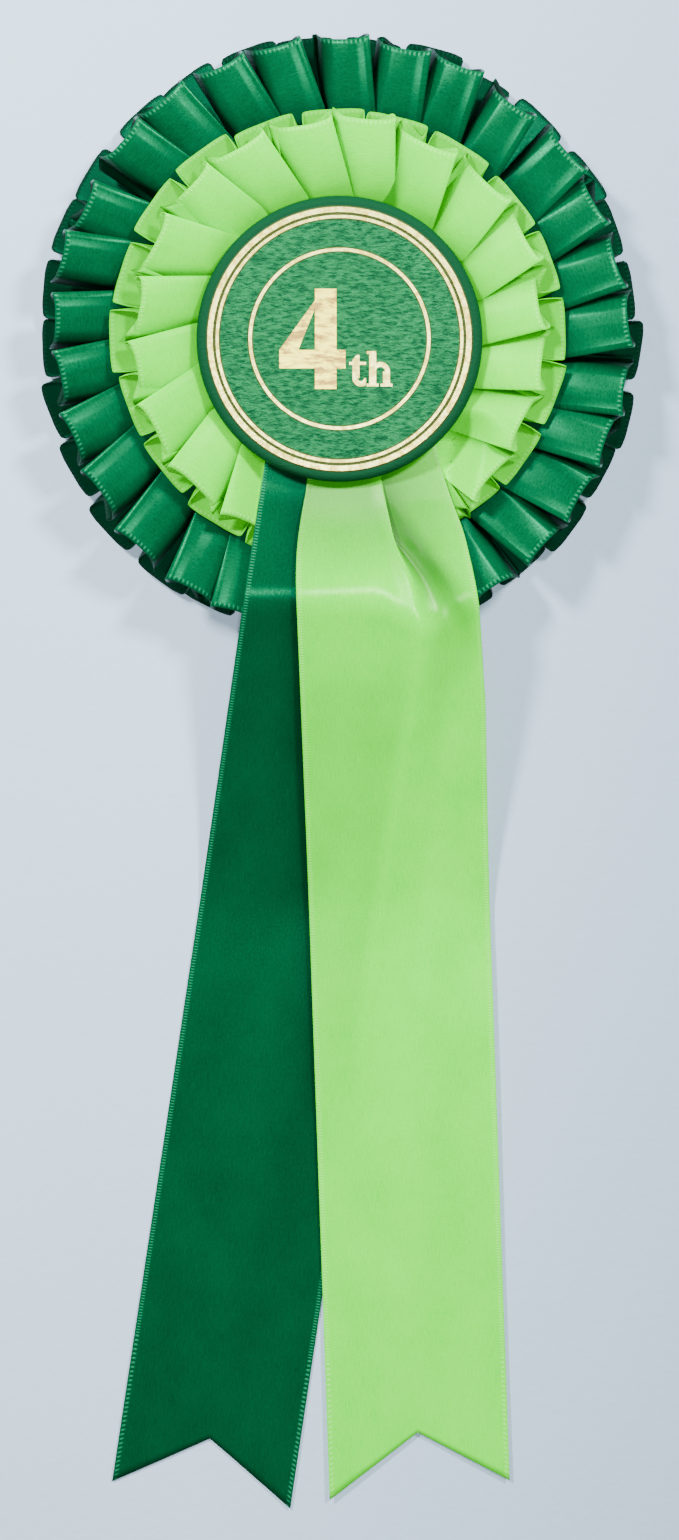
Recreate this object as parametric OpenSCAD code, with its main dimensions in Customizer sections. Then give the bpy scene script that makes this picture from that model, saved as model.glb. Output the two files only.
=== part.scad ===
// Award ribbon: a two-tier box-pleated rosette with a foil-stamped centre button,
// two satin tails and a locking bar pin on its back. It lies on its back: z = 0 is the
// plane that it rests on, +Z points out of its face, +Y to its top, and the tails run
// towards -Y. The origin is on the rosette's axis. All sizes are in millimetres.

/* [Centre button] */
// Radius of the button over its rolled rim
button_r = 29.2; // [28:0.1:30]
// Height of the button's face above the resting plane
face_z = 18.2; // [18:0.1:19]
// Radius of the roll at the button's rim
rim_roll = 1.6; // [1.2:0.1:1.8]
// Thickness of the facing sheet
face_t = 0.7; // [0.5:0.05:0.8]
// Thickness of the stamped foil
foil_t = 0.12; // [0.08:0.01:0.2]
// Height of the foil numeral
numeral_h = 20.4; // [16:0.2:21]

/* [Frills] */
// Outer radius of the outer frill
outer_r = 63; // [61:0.5:64]
// Number of box pleats in the outer frill
outer_pleats = 29; // [25:1:31]
// Width of one pleat panel of the outer frill
outer_panel_w = 10.6; // [10:0.1:11]
// Outer radius of the inner frill
inner_r = 48; // [46.5:0.5:48.5]
// Number of box pleats in the inner frill
inner_pleats = 20; // [18:1:21]
// Width of one pleat panel of the inner frill
inner_panel_w = 12.6; // [12:0.1:13]

/* [Tails] */
// Width of the two tail ribbons
tail_w = 38; // [36:0.5:40]
// Thickness of a tail ribbon
tail_t = 0.5; // [0.4:0.05:0.5]
// Length of the dark tail from the axis line to its two tips
dark_reach = 246.5; // [200:0.5:260]
// Length of the light tail from the axis line to its two tips
light_reach = 242.5; // [200:0.5:260]
// How far one tip of the light tail is longer than the other
light_slant = 2.7; // [0:0.1:4]
// Depth of the V cut in each end
notch_depth = 12; // [8:0.5:16]
// Tilt of the dark tail to the left of straight down
dark_tilt = 8.6; // [6:0.1:10]
// Tilt of the light tail to the right of straight down
light_tilt = 2; // [0:0.1:4]

/* [Backing and pin] */
// Radius of the card that the frills are stapled to
board_r = 43.5; // [42.5:0.5:44]
// Radius of the card that covers the staples
cover_r = 34; // [32:0.5:34]
// Length of the bar pin's plate
bar_l = 33; // [32:0.5:36]
// Width of the bar pin's plate
bar_w = 5; // [5:0.1:6]
// Distance of the bar pin above the rosette's axis
pin_y = 12; // [8:0.5:14]
// Radius of the pin's needle
needle_r = 0.45; // [0.4:0.01:0.5]

/* [Hidden] */
$fn = 96;

// Levels through the stack, from the back to the face
cover_z = 5.9;
board_z = 6.5;
frill_z = 8.1;
outer_root_top = 9.7;
inner_root_top = 9.9;
button_z = 14.9;
hem_t = 0.5;
cut_h = 30;
board_bottom = button_z + hem_t;
board_top = face_z - face_t;

// Button and foil radii
board_edge = 0.8;
button_board_r = button_r - board_edge;
hem_inner_r = 26;
pad_r = 18;
foil_ring_out = [0.920, 0.863, 0.634] * button_r;
foil_ring_in = [0.884, 0.842, 0.611] * button_r;
numeral_w = 0.66 * numeral_h;
stem_w = 0.215 * numeral_h;
bar_h = 0.185 * numeral_h;

// Letters after the numeral
suffix_x = 2;
suffix_y = -9.7;
letter_h = 7.2;
letter_stem = 1.4;
letter_gap = 0.15;
x_h = 5;
t_h = 6.4;
t_w = 3.4;
h_w = 5.2;
t_stem_x = 0.65;
t_cap_h = 0.95;
t_peak_x = 1.5;
hook_x = 2.35;
hook_r = 1.7;
hook_t = 1.05;
arch_r = 1.95;
arch_t = 1;
serif_h = 0.6;
serif_x = 0.5;

// Frill roots and layers
outer_root_r = 38;
card_clear = 0.5;
inner_root_r = 23;
outer_layer_z = 4.5;
outer_edge_rise = 0.6;
inner_layer_z = 13;
outer_top_z = 13;
outer_front_r = 59.5;
inner_top_z = 17.6;
outer_foot_r = 56;
inner_edge_drop = 1;

// The inner frill's top from its crest inwards: radius, and drop below its highest level
inner_puff = [[42, 0], [36, 1.2], [31.5, 3.6]];
inner_puff_foot_r = 27.6;

// The inner frill's underside outside its root: radius, and rise over the outer frill's root
inner_under = [[37.2, 0.9], [inner_r - 0.2, 1.4], [inner_r, 1.6]];
inner_base_r = 35;

// Tails: a pair of ribbons, the light one on the dark one, that share one drape
hinge_d = 31;
hinge_z = 14.55;
head_d = 21;
head_slope = 0.345;
crest_d = 50;
crest_z = 18.5;
foot_d = 120;
fall_power = 1.25;
pair_step = tail_t + 0.2;
table_z = (pair_step + tail_t) / 2;
hinge_gap = 0.6;
drape_step = 3;
channel_clear = 0.3;
dark_root_x = 7.7;
light_root_x = 8.43;
light_head_left = 16;
light_head_right = 10.5;
dark_head_right = 14;
dark_tuck_d = [27, 38];
light_left_d = [29, 45];
light_right_d = [24, 40, 75];
light_right_in = 3.5;
plan_top_d = 10;
plan_z = -10;
plan_h = 60;
drape_end = 260;
drape_half_w = 75;

// Staples and thread
wire_t = 0.4;
wire_w = 0.6;
outer_staple_r = 41.6;
outer_staple_n = 8;
outer_staple_start = 22.5;
inner_staple_r = 26.2;
inner_staple_n = 5;
inner_staple_start = -18;
inner_staple_turn = 54;
clinch_share = 0.4;
outer_staple_w = 9;
inner_staple_w = 8;
tail_staple_w = 6;
tail_staple_d = 26.5;
tail_staple_x = [-2.5, 5];
thread_d = 0.4;
outer_thread_r = 39.6;
inner_thread_r = 24.2;

// Bar pin
plate_t = 0.8;
needle_z = 2.6;
hinge_x = 13;
ear_t = 0.6;
ear_gap = 0.85;
ear_r = 1.5;
pivot_r = 0.5;
eye_r = 1.3;
run_clear = 0.05;
house_x = -15;
house_l = 2.8;
house_r = 2.3;
catch_r = 1.55;
catch_l = 4.1;
catch_bore_r = 0.65;
slot_w = 1.3;
tab_r = 2.5;
rivet_x = 6.5;
rivet_r = 0.75;
rivet_clear = 0.65;
rivet_dimple = 0.5;
rivet_head_r = 1.5;
rivet_head_h = 0.6;
rivet_set_r = 1.3;
rivet_set_h = 0.45;
rivet_dome = 0.2;
pivot_head_r = 0.85;
pivot_head_h = 0.35;
house_foot_w = 2.8;
eye_clear = 0.3;
shank_end = -14.4;
point_x = -16.3;
point_r = 0.05;
tab_root = 0.9;
tab_w = 0.7;
tab_gap = 0.1;
catch_slot_w = 1.2;
drill_h = 20;

// ---------------------------------------------------------------- shared shapes

// A quarter-round corner, from angle a0 to a1 about a centre, for use in a profile
function arc(centre, r, a0, a1, steps = 6) =
  [for (i = [0:steps]) centre + r * [cos(a0 + (a1 - a0) * i / steps), sin(a0 + (a1 - a0) * i / steps)]];

module revolve(profile) {
  rotate_extrude() polygon(profile);
}

module disc(r, z0, z1) {
  translate([0, 0, z0]) cylinder(r = r, h = z1 - z0);
}

module flat_ring(r_out, r_in, z0, z1) {
  difference() {
    disc(r_out, z0, z1);
    disc(r_in, z0 - 1, z1 + 1);
  }
}

// The wedge of air between two parallel-sided pleat panels, on the +X axis
module pleat_gap(pleats, panel_w, z0) {
  half = 180 / pleats;
  apex = panel_w / 2 / sin(half);
  reach = 30;
  far = [apex + reach * cos(half), reach * sin(half)];
  translate([0, 0, z0])
    linear_extrude(cut_h)
      polygon([[apex, 0], [far[0], -far[1]], far]);
}

// A pleated frill: back panels below, and front panels that stand apart at the edge
module pleated_ring(profile, pleats, panel_w, layer_z) {
  difference() {
    revolve(profile);
    for (i = [0:pleats - 1])
      rotate(90 + 360 * (i + 0.5) / pleats) pleat_gap(pleats, panel_w, layer_z);
  }
}

// A staple on the +Z side of its crown's underside, its legs going down
module staple(width, leg) {
  translate([-width / 2, -wire_w / 2, 0]) cube([width, wire_w, wire_t]);
  for (side = [-1, 1])
    translate([side * (width - wire_w) / 2 - wire_w / 2, -wire_w / 2, -leg])
      cube([wire_w, wire_w, leg]);
}

// The two prongs of a staple, bent inwards behind the card
module clinch(width) {
  prong = width * clinch_share;
  for (side = [-1, 1])
    translate([side * (width - prong) / 2 - prong / 2, -wire_w / 2, -wire_t])
      cube([prong, wire_w, wire_t]);
}

// ---------------------------------------------------------------- centre button

module centre_face() {
  skin_r = button_board_r;
  color([0.10, 0.48, 0.30])
    revolve(concat(
      [[0, face_z]],
      arc([button_r - rim_roll, face_z - rim_roll], rim_roll, 90, 0),
      arc([button_r - hem_t, button_z + hem_t], hem_t, 0, -90, 4),
      [[hem_inner_r, button_z], [hem_inner_r, board_bottom], [skin_r, board_bottom],
       [skin_r, board_top - board_edge], [skin_r - board_edge, board_top], [0, board_top]]));
}

module centre_board() {
  color([0.78, 0.74, 0.66])
    revolve([[0, board_bottom], [button_board_r, board_bottom],
             [button_board_r, board_top - board_edge], [button_board_r - board_edge, board_top],
             [0, board_top]]);
}

module foil_rings() {
  color([0.86, 0.68, 0.32])
    for (i = [0:2])
      flat_ring(foil_ring_out[i], foil_ring_in[i], face_z, face_z + foil_t);
}

// The figure 4: an upright stem, a cross bar and a diagonal round a triangular counter
module foil_numeral() {
  h = numeral_h;
  w = numeral_w;
  right = 0.06 * h;
  stem_right = -0.03 * h;
  stem_left = stem_right - stem_w;
  bar_top = -0.11 * h;
  bar_bottom = bar_top - bar_h;
  bar_left = right - w;
  color([0.86, 0.68, 0.32])
    translate([0, 0, face_z])
      linear_extrude(foil_t)
        difference() {
          union() {
            translate([stem_left, -h / 2]) square([stem_w, h]);
            translate([bar_left, bar_bottom]) square([w, bar_h]);
            polygon([[bar_left, bar_bottom], [stem_right, bar_bottom], [stem_right, h / 2],
                     [stem_right - 0.13 * h, h / 2], [bar_left, bar_top]]);
          }
          polygon([[stem_left, bar_top], [stem_left, 0.3 * h],
                   [bar_left + 0.19 * h, bar_top]]);
        }
}

// The quarter or half of a ring that lies inside a rectangle
module bowl(centre, r_out, r_in, corner, size) {
  intersection() {
    translate(centre)
      difference() {
        circle(r = r_out);
        circle(r = r_in);
      }
    translate(corner) square(size);
  }
}

// A slab serif letter t: a stem that turns into a hook at its foot, and a cross bar
module letter_t() {
  cap_z = t_h - t_cap_h;
  translate([t_stem_x, hook_r]) square([letter_stem, cap_z - hook_r]);
  polygon([[t_stem_x, x_h], [t_stem_x + letter_stem, x_h], [t_stem_x + letter_stem, t_h],
           [t_peak_x, t_h], [t_stem_x, cap_z]]);
  translate([0, x_h - serif_h]) square([t_w, serif_h]);
  bowl([hook_x, hook_r], hook_r, hook_r - hook_t, [t_stem_x, 0], [t_w - t_stem_x, hook_r]);
}

// A slab serif letter h: two stems joined by an arch
module letter_h() {
  right = h_w - serif_x - letter_stem;
  translate([serif_x, 0]) square([letter_stem, letter_h]);
  translate([0, letter_h - serif_h]) square([serif_x + letter_stem / 2, serif_h]);
  translate([right, 0]) square([letter_stem, x_h - arch_r]);
  for (x = [0, right - serif_x])
    translate([x, 0]) square([letter_stem + 2 * serif_x, serif_h]);
  bowl([right + letter_stem - arch_r, x_h - arch_r], arch_r, arch_r - arch_t,
       [serif_x + letter_stem / 2, x_h - arch_r], [h_w, arch_r]);
}

// Small letters that make the figure an ordinal
module foil_suffix() {
  color([0.86, 0.68, 0.32])
    translate([suffix_x, suffix_y, face_z])
      linear_extrude(foil_t) {
        letter_t();
        translate([t_w + letter_gap, 0]) letter_h();
      }
}

module centre_pad() {
  color([0.93, 0.92, 0.88])
    difference() {
      disc(pad_r, frill_z, board_bottom);
      for (side = [-1, 1])
        translate([side * rivet_x, pin_y, 0]) disc(rivet_r + rivet_clear, frill_z - 1, frill_z + rivet_dimple);
    }
}

// ---------------------------------------------------------------- frills

// The room that the tails press into the inner frill: everything above this slanted bed
module tail_channel() {
  left = -22;
  right = 30;
  top_d = head_d - 1;
  bed = [for (d = [top_d, hinge_d, crest_d]) [-d, drape(d) - table_z - channel_clear]];
  translate([left, 0, 0])
    rotate([90, 0, 90])
      linear_extrude(right - left)
        polygon(concat(bed, [[-crest_d, cut_h], [-top_d, cut_h]]));
}

module inner_frill() {
  under = concat([[inner_root_r, frill_z], [inner_base_r, frill_z]],
                 [for (p = inner_under) [p[0], outer_root_top + p[1]]]);
  top = [for (p = inner_puff) [p[0], inner_top_z - p[1]]];
  color([0.60, 0.93, 0.45])
    difference() {
      pleated_ring(concat(under, [[inner_r, inner_top_z - inner_edge_drop]], top,
                          [[inner_puff_foot_r, inner_root_top], [inner_root_r, inner_root_top]]),
                   inner_pleats, inner_panel_w, inner_layer_z);
      tail_channel();
    }
}

module inner_frill_thread() {
  color([0.70, 0.92, 0.55])
    flat_ring(inner_thread_r + thread_d / 2, inner_thread_r - thread_d / 2,
              inner_root_top, inner_root_top + thread_d);
}

// The inner frill's staples stand round the part of its root that the tails leave free
module inner_frill_staples() {
  color([0.75, 0.76, 0.78])
    for (i = [0:inner_staple_n - 1])
      rotate(inner_staple_start + i * inner_staple_turn)
        translate([inner_staple_r, 0, inner_root_top])
          rotate(90) staple(inner_staple_w, inner_root_top - board_z);
}

module outer_frill() {
  color([0.0, 0.42, 0.26])
    pleated_ring([[outer_root_r, frill_z], [board_r + card_clear, frill_z], [outer_foot_r, 0],
                  [outer_r, 0], [outer_r, outer_layer_z + outer_edge_rise], [outer_front_r, outer_top_z],
                  [inner_r, outer_root_top + inner_under[0][1]], [board_r, outer_root_top],
                  [outer_root_r, outer_root_top]],
                 outer_pleats, outer_panel_w, outer_layer_z);
}

module outer_frill_thread() {
  color([0.05, 0.40, 0.28])
    flat_ring(outer_thread_r + thread_d / 2, outer_thread_r - thread_d / 2,
              outer_root_top, outer_root_top + thread_d);
}

module outer_frill_staples() {
  color([0.75, 0.76, 0.78])
    for (i = [0:outer_staple_n - 1])
      rotate(outer_staple_start + i * 360 / outer_staple_n)
        translate([outer_staple_r, 0, 0])
          rotate(90) {
            translate([0, 0, outer_root_top]) staple(outer_staple_w, outer_root_top - board_z);
            translate([0, 0, board_z]) clinch(outer_staple_w);
          }
}

// ---------------------------------------------------------------- tails

// Height of the middle of the pair of ribbons, at a distance d below the axis
function drape(d) =
  d <= hinge_d ? hinge_z - head_slope * (hinge_d - d)
  : d <= crest_d ? hinge_z + (crest_z - hinge_z) * (d - hinge_d) / (crest_d - hinge_d)
  : d <= foot_d ? table_z + (crest_z - table_z) * pow((foot_d - d) / (foot_d - crest_d), fall_power)
  : table_z;

// A sheet that follows the drape from one distance to another, wider than any ribbon
module draped_sheet(lift, d0, d1) {
  steps = [for (d = [d0 : drape_step : min(d1, foot_d)]) d];
  stops = concat(steps, [min(d1, foot_d)], d1 > foot_d ? [d1] : []);
  top = [for (d = stops) [-d, drape(d) + lift + tail_t / 2]];
  bottom = [for (i = [len(stops) - 1 : -1 : 0]) [-stops[i], drape(stops[i]) + lift - tail_t / 2]];
  translate([-drape_half_w, 0, 0])
    rotate([90, 0, 90])
      linear_extrude(2 * drape_half_w) polygon(concat(top, bottom));
}

// The plan of a ribbon: its two edges, and its end with the V cut
module ribbon_plan(left_edge, right_edge, reach, slant) {
  middle = -(reach - notch_depth);
  translate([0, 0, plan_z])
    linear_extrude(plan_h)
      polygon(concat(left_edge,
                     [[-tail_w / 2, -(reach + slant / 2)], [0, middle],
                      [tail_w / 2, -(reach - slant / 2)]],
                     right_edge));
}

// The dark ribbon's right edge is tucked in at its head, where the light ribbon hides it
module dark_plan() {
  translate([dark_root_x, 0, 0])
    rotate(-dark_tilt)
      ribbon_plan([[-tail_w / 2, -plan_top_d]],
                  [[tail_w / 2, -dark_tuck_d[1]], [dark_head_right, -dark_tuck_d[0]],
                   [dark_head_right, -plan_top_d]],
                  dark_reach, 0);
}

// The light ribbon is tucked narrower at its head and spreads to its full width
module light_plan() {
  translate([light_root_x, 0, 0])
    rotate(light_tilt)
      ribbon_plan([[-light_head_left, -plan_top_d], [-light_head_left, -light_left_d[0]],
                   [-tail_w / 2, -light_left_d[1]]],
                  [[tail_w / 2, -light_right_d[2]], [tail_w / 2 - light_right_in, -light_right_d[1]],
                   [light_head_right, -light_right_d[0]], [light_head_right, -plan_top_d]],
                  light_reach, light_slant);
}

module tail_dark_head() {
  color([0.0, 0.44, 0.28])
    intersection() {
      draped_sheet(-pair_step / 2, head_d, hinge_d - hinge_gap);
      dark_plan();
    }
}

module tail_dark() {
  color([0.0, 0.44, 0.28])
    intersection() {
      draped_sheet(-pair_step / 2, hinge_d + hinge_gap, drape_end);
      dark_plan();
    }
}

module tail_light_head() {
  color([0.60, 0.93, 0.45])
    intersection() {
      draped_sheet(pair_step / 2, head_d, hinge_d - hinge_gap);
      light_plan();
    }
}

module tail_light() {
  color([0.60, 0.93, 0.45])
    intersection() {
      draped_sheet(pair_step / 2, hinge_d + hinge_gap, drape_end);
      light_plan();
    }
}

// Two staples go through both ribbon heads, the inner frill's root and the card
module tail_staples() {
  top = drape(tail_staple_d) + (pair_step + tail_t) / 2;
  color([0.75, 0.76, 0.78])
    for (x = tail_staple_x)
      translate([x, -tail_staple_d, top]) staple(tail_staple_w, top - board_z);
}

// ---------------------------------------------------------------- backing

module rivet_holes(r) {
  for (side = [-1, 1])
    translate([side * rivet_x, pin_y, 0]) disc(r, 0, drill_h);
}

module backing_board() {
  color([0.83, 0.80, 0.72])
    difference() {
      disc(board_r, board_z, frill_z);
      rivet_holes(rivet_r);
    }
}

module back_cover() {
  color([0.95, 0.94, 0.90])
    difference() {
      disc(cover_r, cover_z, board_z);
      rivet_holes(rivet_r);
    }
}

// ---------------------------------------------------------------- bar pin

// A cylinder whose axis runs along X, or along Y
module rod_x(r, x0, x1) {
  translate([x0, 0, 0]) rotate([0, 90, 0]) cylinder(r = r, h = x1 - x0);
}

module rod_y(r, y0, y1) {
  translate([0, y0, 0]) rotate([-90, 0, 0]) cylinder(r = r, h = y1 - y0);
}

// One round-nosed ear of the hinge, from the plate out to the pivot
module hinge_ear(y0) {
  translate([hinge_x, 0, needle_z]) {
    rod_y(ear_r, y0, y0 + ear_t);
    translate([-ear_r, y0, 0]) cube([2 * ear_r, ear_t, cover_z - plate_t - needle_z]);
  }
}

// The split tube that holds the catch, open towards the cloth
module catch_house() {
  rod_x(house_r, house_x, house_x + house_l);
  translate([house_x, -house_foot_w / 2, 0])
    cube([house_l, house_foot_w, cover_z - plate_t - needle_z]);
}

module pin_bar() {
  half = bar_l / 2 - bar_w / 2;
  color([0.80, 0.81, 0.83])
    translate([0, pin_y, 0])
      difference() {
        union() {
          translate([-half, -bar_w / 2, cover_z - plate_t]) cube([2 * half, bar_w, plate_t]);
          for (side = [-1, 1])
            translate([side * half, 0, 0]) disc(bar_w / 2, cover_z - plate_t, cover_z);
          hinge_ear(ear_gap);
          hinge_ear(-ear_gap - ear_t);
          translate([0, 0, needle_z]) catch_house();
        }
        translate([hinge_x, 0, needle_z]) rod_y(pivot_r, -5, 5);
        translate([0, 0, needle_z]) rod_x(catch_r + run_clear, house_x - 1, house_x + house_l + 1);
        translate([house_x - 1, -slot_w / 2, 0]) cube([house_l + 2, slot_w, needle_z]);
        for (side = [-1, 1])
          translate([side * rivet_x, 0, 0]) disc(rivet_r, 0, drill_h);
      }
}

// Two rivets hold the plate to both cards, with their set heads under the foam pad
module pin_rivets() {
  plate_z = cover_z - plate_t;
  color([0.80, 0.81, 0.83])
    for (side = [-1, 1])
      translate([side * rivet_x, pin_y, 0])
        revolve([[0, plate_z - rivet_head_h], [rivet_head_r - 3 * rivet_dome, plate_z - rivet_head_h + 0.1],
                 [rivet_head_r, plate_z], [rivet_r, plate_z], [rivet_r, frill_z],
                 [rivet_set_r, frill_z], [rivet_set_r - rivet_dome, frill_z + rivet_set_h - 0.05],
                 [0, frill_z + rivet_set_h]]);
}

module pin_hinge_rivet() {
  half = ear_gap + ear_t;
  color([0.80, 0.81, 0.83])
    translate([hinge_x, pin_y, needle_z]) {
      rod_y(pivot_r, -half, half);
      rod_y(pivot_head_r, half, half + pivot_head_h);
      rod_y(pivot_head_r, -half - pivot_head_h, -half);
    }
}

// The needle: an eye round the hinge rivet, a straight wire and a ground point
module pin_needle() {
  eye_w = 2 * ear_gap - eye_clear;
  color([0.85, 0.86, 0.88])
    translate([0, pin_y, needle_z])
      difference() {
        union() {
          translate([hinge_x, 0, 0]) rod_y(eye_r, -eye_w / 2, eye_w / 2);
          rod_x(needle_r, shank_end, hinge_x - pivot_r);
          rotate([0, 90, 0])
            translate([0, 0, point_x]) cylinder(r1 = point_r, r2 = needle_r, h = shank_end - point_x);
        }
        translate([hinge_x, 0, 0]) rod_y(pivot_r + run_clear, -5, 5);
      }
}

// The locking barrel, stored open: its slot faces the cloth, and its tab stands to one side
module pin_catch() {
  color([0.76, 0.77, 0.80])
    translate([0, pin_y, needle_z])
      difference() {
        union() {
          rod_x(catch_r, house_x, house_x + catch_l);
          translate([house_x + house_l + tab_gap, 0, 0])
            rotate([45, 0, 0])
              translate([0, tab_root, -tab_w / 2])
                cube([catch_l - house_l - tab_gap, tab_r - tab_root, tab_w]);
        }
        rod_x(catch_bore_r, house_x - 1, house_x + catch_l + 1);
        translate([house_x - 1, -catch_slot_w / 2, -tab_r]) cube([catch_l + 2, catch_slot_w, tab_r]);
      }
}

centre_face();
centre_board();
foil_rings();
foil_numeral();
foil_suffix();
centre_pad();
inner_frill();
inner_frill_thread();
inner_frill_staples();
outer_frill();
outer_frill_thread();
outer_frill_staples();
backing_board();
tail_light_head();
tail_light();
tail_dark_head();
tail_dark();
tail_staples();
back_cover();
pin_bar();
pin_rivets();
pin_hinge_rivet();
pin_needle();
pin_catch();
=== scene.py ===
# The looks of the award ribbon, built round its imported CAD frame. Lengths are in metres.
# The rosette lies on its back: +Z out of its face, +Y to its top, tails towards -Y.
import math

import bpy
import numpy as np
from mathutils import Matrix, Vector, noise


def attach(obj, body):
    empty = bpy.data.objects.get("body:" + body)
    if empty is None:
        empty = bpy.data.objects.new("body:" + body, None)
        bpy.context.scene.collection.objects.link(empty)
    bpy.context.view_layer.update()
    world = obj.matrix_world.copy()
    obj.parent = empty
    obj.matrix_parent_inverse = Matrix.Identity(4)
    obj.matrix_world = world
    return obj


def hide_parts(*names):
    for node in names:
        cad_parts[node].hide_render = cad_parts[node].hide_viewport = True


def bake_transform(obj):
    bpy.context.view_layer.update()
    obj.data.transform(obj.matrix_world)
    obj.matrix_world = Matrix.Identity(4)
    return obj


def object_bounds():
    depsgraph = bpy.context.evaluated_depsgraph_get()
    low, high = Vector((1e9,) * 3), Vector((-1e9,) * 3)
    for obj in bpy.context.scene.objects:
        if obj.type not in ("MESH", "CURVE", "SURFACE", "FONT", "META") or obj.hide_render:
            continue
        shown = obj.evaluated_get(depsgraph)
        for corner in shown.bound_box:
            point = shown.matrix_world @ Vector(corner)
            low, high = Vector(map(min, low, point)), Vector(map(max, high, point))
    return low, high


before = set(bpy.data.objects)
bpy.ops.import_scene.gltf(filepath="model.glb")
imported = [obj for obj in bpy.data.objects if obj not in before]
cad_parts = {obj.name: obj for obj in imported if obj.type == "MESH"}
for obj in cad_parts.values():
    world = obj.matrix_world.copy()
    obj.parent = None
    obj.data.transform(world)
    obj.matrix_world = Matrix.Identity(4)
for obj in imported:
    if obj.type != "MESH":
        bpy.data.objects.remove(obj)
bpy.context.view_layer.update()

MM = 0.001


# ---------------------------------------------------------------- camera

VIEW_HEIGHT = 0.5          # camera above the table
VIEW_LONG_SIDE = 0.3251    # what the picture's long side spans on the table
VIEW_SHIFT = -0.28         # the lens is over the rosette, and the frame reaches down to the tails
SENSOR = 36                # mm


def make_camera():
    data = bpy.data.cameras.new("view")
    data.sensor_fit = "AUTO"
    data.sensor_width = SENSOR
    data.lens = data.sensor_width * VIEW_HEIGHT / VIEW_LONG_SIDE
    camera = bpy.data.objects.new("view", data)
    data.shift_y = VIEW_SHIFT
    camera.location = (0, 0, VIEW_HEIGHT)
    bpy.context.scene.collection.objects.link(camera)
    bpy.context.scene.camera = camera


make_camera()


# ---------------------------------------------------------------- node helpers

class Shader:
    """A material's node tree, with short calls for the nodes that the materials share."""

    def __init__(self, name):
        self.material = bpy.data.materials.new(name)
        self.material.use_nodes = True
        self.tree = self.material.node_tree
        self.tree.nodes.clear()
        self.out = self.tree.nodes.new("ShaderNodeOutputMaterial")
        self.bsdf = self.tree.nodes.new("ShaderNodeBsdfPrincipled")
        self.link(self.bsdf.outputs[0], self.out.inputs["Surface"])

    def link(self, a, b):
        self.tree.links.new(a, b)

    def add(self, kind, **values):
        node = self.tree.nodes.new(kind)
        for key, value in values.items():
            if hasattr(node, key):
                setattr(node, key, value)
            else:
                node.inputs[key].default_value = value
        return node

    def feed(self, value, socket):
        if isinstance(value, (int, float, tuple, list)):
            socket.default_value = value
        else:
            self.link(value, socket)

    def math(self, operation, a, b=0.0):
        node = self.add("ShaderNodeMath", operation=operation)
        for value, socket in zip((a, b), node.inputs):
            self.feed(value, socket)
        return node.outputs[0]

    def plus(self, a, b):
        return self.math("ADD", a, b)

    def times(self, a, b):
        return self.math("MULTIPLY", a, b)

    def mix(self, factor, a, b):
        node = self.add("ShaderNodeMix", data_type="RGBA")
        self.feed(factor, node.inputs[0])
        self.feed(a, node.inputs[6])
        self.feed(b, node.inputs[7])
        return node.outputs[2]

    def ramp(self, value, low, high, a=0.0, b=1.0):
        """Runs from a to b while the value runs from low to high, and stays there beyond them."""
        node = self.add("ShaderNodeMapRange", clamp=True)
        self.feed(value, node.inputs[0])
        for i, number in enumerate((low, high, a, b)):
            node.inputs[i + 1].default_value = number
        return node.outputs[0]

    def noise(self, vector, scale, detail=2.0, roughness=0.5):
        node = self.add("ShaderNodeTexNoise", Scale=scale, Detail=detail, Roughness=roughness)
        if vector is not None:
            self.link(vector, node.inputs["Vector"])
        return node.outputs[0]

    def stretched(self, vector, scale):
        node = self.add("ShaderNodeMapping", Scale=scale)
        self.link(vector, node.inputs["Vector"])
        return node.outputs[0]

    def place(self):
        return self.add("ShaderNodeTexCoord").outputs["Object"]

    def parts(self, vector):
        split = self.add("ShaderNodeSeparateXYZ")
        self.link(vector, split.inputs[0])
        return split.outputs[0], split.outputs[1]

    def bump(self, height, distance, strength=1.0):
        node = self.add("ShaderNodeBump", Distance=distance, Strength=strength)
        self.link(height, node.inputs["Height"])
        return node.outputs[0]

    def finish(self, **values):
        """Feeds the surface's inputs, each named with _ for a space, and returns the material."""
        for key, value in values.items():
            self.feed(value, self.bsdf.inputs[key.replace("_", " ")])
        return self.material


# ---------------------------------------------------------------- materials

FRILL_W = 25 * MM
TAIL_W = 38 * MM

# Colours, named for what they colour
FACING_VALLEY = (0.0, 0.050, 0.013, 1)
FACING_RIDGE = (0.006, 0.19, 0.053, 1)
FACING_RIM_PAINTED_SHADE = (0.0, 0.032, 0.009, 1)
FACING_SHINE = (0.35, 1.0, 0.6, 1)
RING_EDGE = (0.05, 0.045, 0.004, 1)
FOAM_CELL = (0.55, 0.54, 0.48, 1)
FOAM_WALL = (0.88, 0.87, 0.82, 1)
TABLE_PAINTED_SHADE = (0.28, 0.40, 0.49, 1)
TABLE_PALE = (0.50, 0.65, 0.80, 1)

# Noise stretches count features in a metre. A ribbon's are along it and across it
WARP = (350, 6200, 1)
SLUB = (1500, 2600, 1)
CLOUD = (70, 90, 1)
CREASES = (640, 1700, 900)
PORES = (2600, 3800, 2600)
THREAD_FIBRE = (2500, 2500, 2500)
SPECKS = 2200.0
FOAM_CELLS = 1500.0

# The stitched edge of a ribbon: distances in from the edge
STITCH_START = (0.15 * MM, 0.4 * MM)
STITCH_END = (1.2 * MM, 0.8 * MM)
SELVAGE = (0.3 * MM, 0.1 * MM)
FRILL_STITCH = 0.95 * MM
TAIL_STITCH = 0.6 * MM

# Radii on the facing in mm: the start of the smooth rim, and the dark edges of the stamped rings
SMOOTH_FROM, SMOOTH_FULL = 26.6, 27.2
RING_EDGES = ((25.2, 25.8), (26.88, 27.12), (24.33, 24.58), (18.53, 18.73), (17.62, 17.82))
RING_EDGE_BLUR = 0.06


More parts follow.
